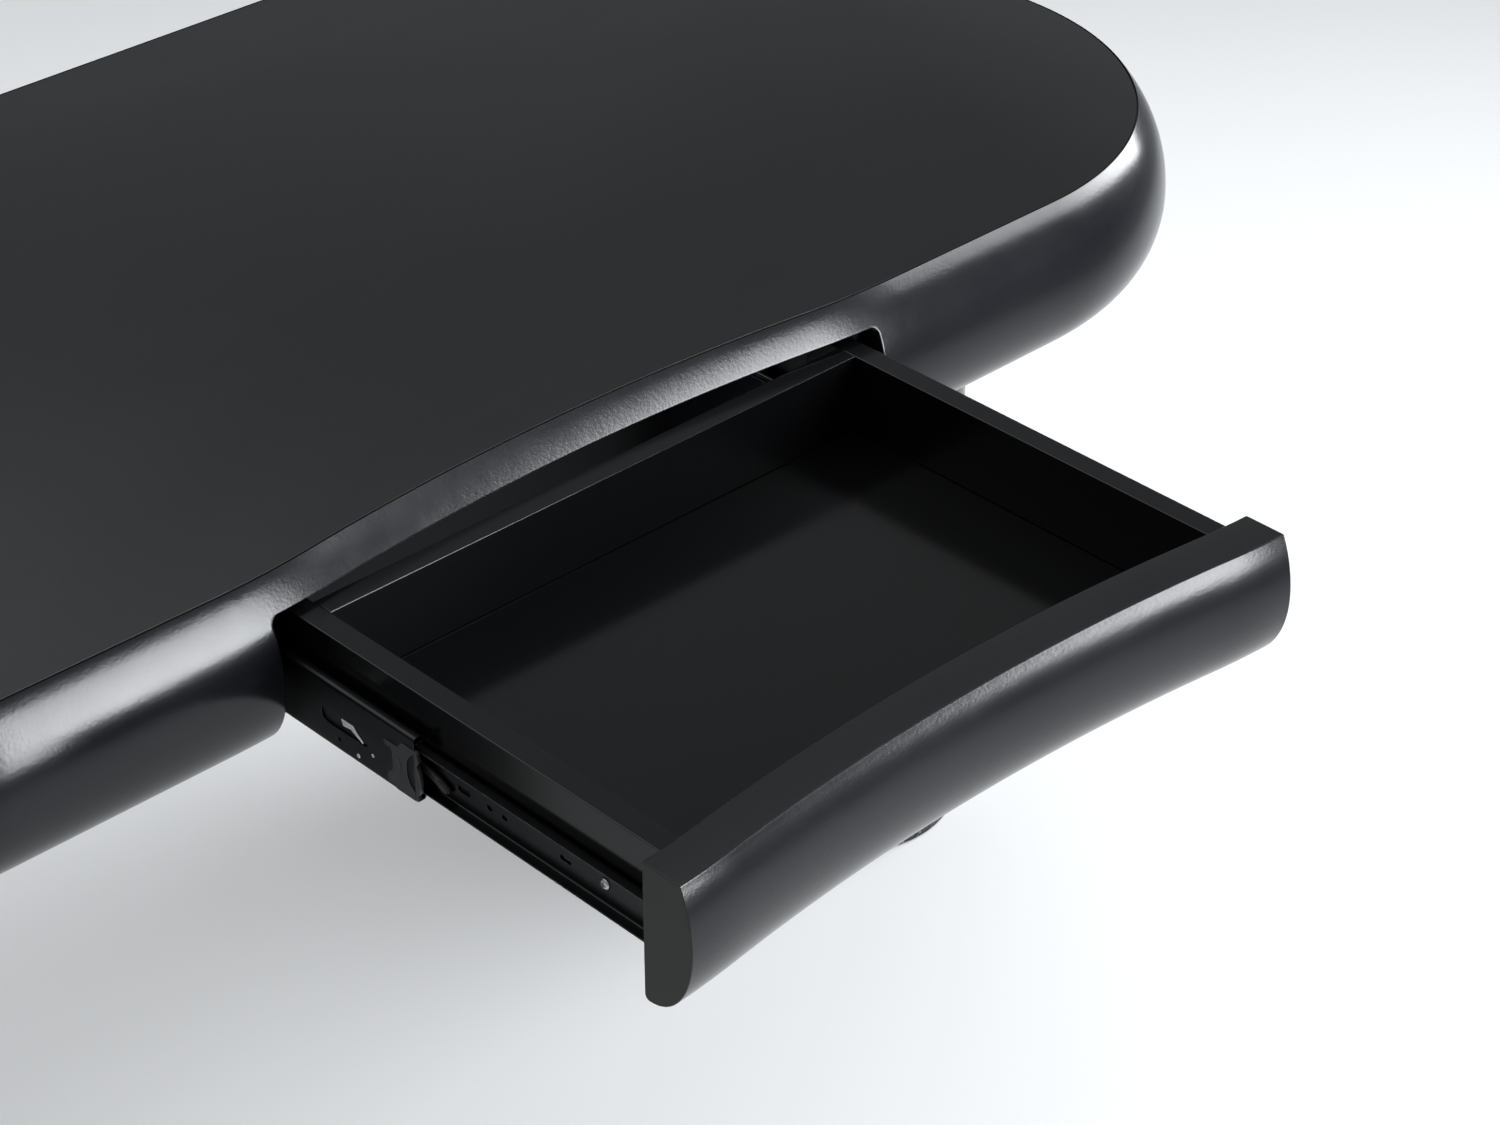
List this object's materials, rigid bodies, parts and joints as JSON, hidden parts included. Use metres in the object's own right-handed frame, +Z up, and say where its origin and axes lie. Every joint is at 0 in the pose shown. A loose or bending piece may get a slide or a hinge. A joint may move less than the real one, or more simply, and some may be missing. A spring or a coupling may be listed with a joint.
{
  "type": "computer desk",
  "caption": "Black desk with a rounded moulded edge, a concave front, two oval legs and a shallow keyboard drawer that pulls fully out on ball slides.",
  "frame": {"origin": "on the floor under the middle of the outline, drawer pulled out as in the rest pose", "axes": "+X to the right of the person at the desk, +Y away from them, +Z up; the drawer opens towards -Y"},
  "size_m": [1.4, 1.049, 0.74],
  "materials": {
    "top_surface": "satin charcoal laminate on board",
    "lacquer": "semi-gloss black lacquer with a fine orange peel",
    "board": "satin black foil on board",
    "black_steel": "black coated sheet steel",
    "zinc": "bright zinc plate",
    "black_plastic": "moulded black plastic",
    "plinth": "black hammered lacquer on board"
  },
  "bodies": {
    "desk": {"top_panel": "top_surface", "edge_lintel": "lacquer", "edge_rear": "lacquer", "bay_rear_rail": "board", "modesty_panel": "lacquer", "edge_front_left": "lacquer", "edge_front_right": "lacquer", "edge_front_corner_left": "lacquer", "edge_front_corner_right": "lacquer", "edge_rear_corner_left": "lacquer", "edge_rear_corner_right": "lacquer", "edge_end_left": "lacquer", "edge_end_right": "lacquer", "runner_rail_left": "board", "runner_rail_right": "board", "slide_cabinet_member_left": "black_steel", "slide_cabinet_member_right": "black_steel", "leg_front_stave_left": "lacquer", "leg_front_stave_right": "lacquer", "leg_rear_stave_left": "lacquer", "leg_rear_stave_right": "lacquer", "leg_outer_panel_left": "lacquer", "leg_outer_panel_right": "lacquer", "leg_inner_panel_left": "lacquer", "leg_inner_panel_right": "lacquer", "leg_plinth_left": "plinth", "leg_plinth_right": "plinth", "leg_cap_left": "lacquer", "leg_cap_right": "lacquer", "leg_core_left": "black_steel", "leg_core_right": "black_steel", "leg_mount_plate_left": "black_steel", "leg_mount_plate_right": "black_steel", "glide_front_left": "black_plastic", "glide_front_right": "black_plastic", "glide_rear_left": "black_plastic", "glide_rear_right": "black_plastic", "modesty_bracket_left": "black_steel", "modesty_bracket_right": "black_steel"},
    "drawer": {"drawer_front": "lacquer", "drawer_bottom": "board", "drawer_back": "board", "drawer_side_left": "board", "drawer_side_right": "board", "slide_screw_left": "zinc", "slide_screw_right": "zinc", "slide_drawer_member_left": "black_steel", "slide_drawer_member_right": "black_steel"},
    "middle_left": {"slide_middle_member_left": "black_steel", "slide_end_clip_left": "black_plastic"},
    "outer_cage_left": {"slide_outer_cage_left": "zinc"},
    "inner_cage_left": {"slide_inner_cage_left": "zinc"},
    "release_lever_left": {"slide_release_lever_left": "black_plastic"},
    "middle_right": {"slide_middle_member_right": "black_steel", "slide_end_clip_right": "black_plastic"},
    "outer_cage_right": {"slide_outer_cage_right": "zinc"},
    "inner_cage_right": {"slide_inner_cage_right": "zinc"},
    "release_lever_right": {"slide_release_lever_right": "black_plastic"}
  },
  "joints": [
    {"name": "drawer_slide", "type": "slide", "parent": "desk", "child": "drawer", "axis": [0, -1, 0], "range_m": [-0.35, 0]},
    {"name": "middle_slide_left", "type": "slide", "parent": "desk", "child": "middle_left", "axis": [0, -1, 0], "range_m": [-0.175, 0]},
    {"name": "outer_cage_slide_left", "type": "slide", "parent": "desk", "child": "outer_cage_left", "axis": [0, -1, 0], "range_m": [-0.0875, 0]},
    {"name": "inner_cage_slide_left", "type": "slide", "parent": "desk", "child": "inner_cage_left", "axis": [0, -1, 0], "range_m": [-0.2625, 0]},
    {"name": "release_lever_left", "type": "hinge", "parent": "drawer", "child": "release_lever_left", "pos_m": [-0.2395, -0.27047, 0.6684], "axis": [1, 0, 0], "range_deg": [-12, 5], "stiffness_Nm_per_rad": 0.05},
    {"name": "middle_slide_right", "type": "slide", "parent": "desk", "child": "middle_right", "axis": [0, -1, 0], "range_m": [-0.175, 0]},
    {"name": "outer_cage_slide_right", "type": "slide", "parent": "desk", "child": "outer_cage_right", "axis": [0, -1, 0], "range_m": [-0.0875, 0]},
    {"name": "inner_cage_slide_right", "type": "slide", "parent": "desk", "child": "inner_cage_right", "axis": [0, -1, 0], "range_m": [-0.2625, 0]},
    {"name": "release_lever_right", "type": "hinge", "parent": "drawer", "child": "release_lever_right", "pos_m": [0.2395, -0.27047, 0.6684], "axis": [1, 0, 0], "range_deg": [-12, 5], "stiffness_Nm_per_rad": 0.05}
  ],
  "couplings": [
    {"joint": "middle_slide_left", "follows": "drawer_slide", "ratio": 0.5},
    {"joint": "outer_cage_slide_left", "follows": "drawer_slide", "ratio": 0.25},
    {"joint": "inner_cage_slide_left", "follows": "drawer_slide", "ratio": 0.75},
    {"joint": "middle_slide_right", "follows": "drawer_slide", "ratio": 0.5},
    {"joint": "outer_cage_slide_right", "follows": "drawer_slide", "ratio": 0.25},
    {"joint": "inner_cage_slide_right", "follows": "drawer_slide", "ratio": 0.75}
  ]
}
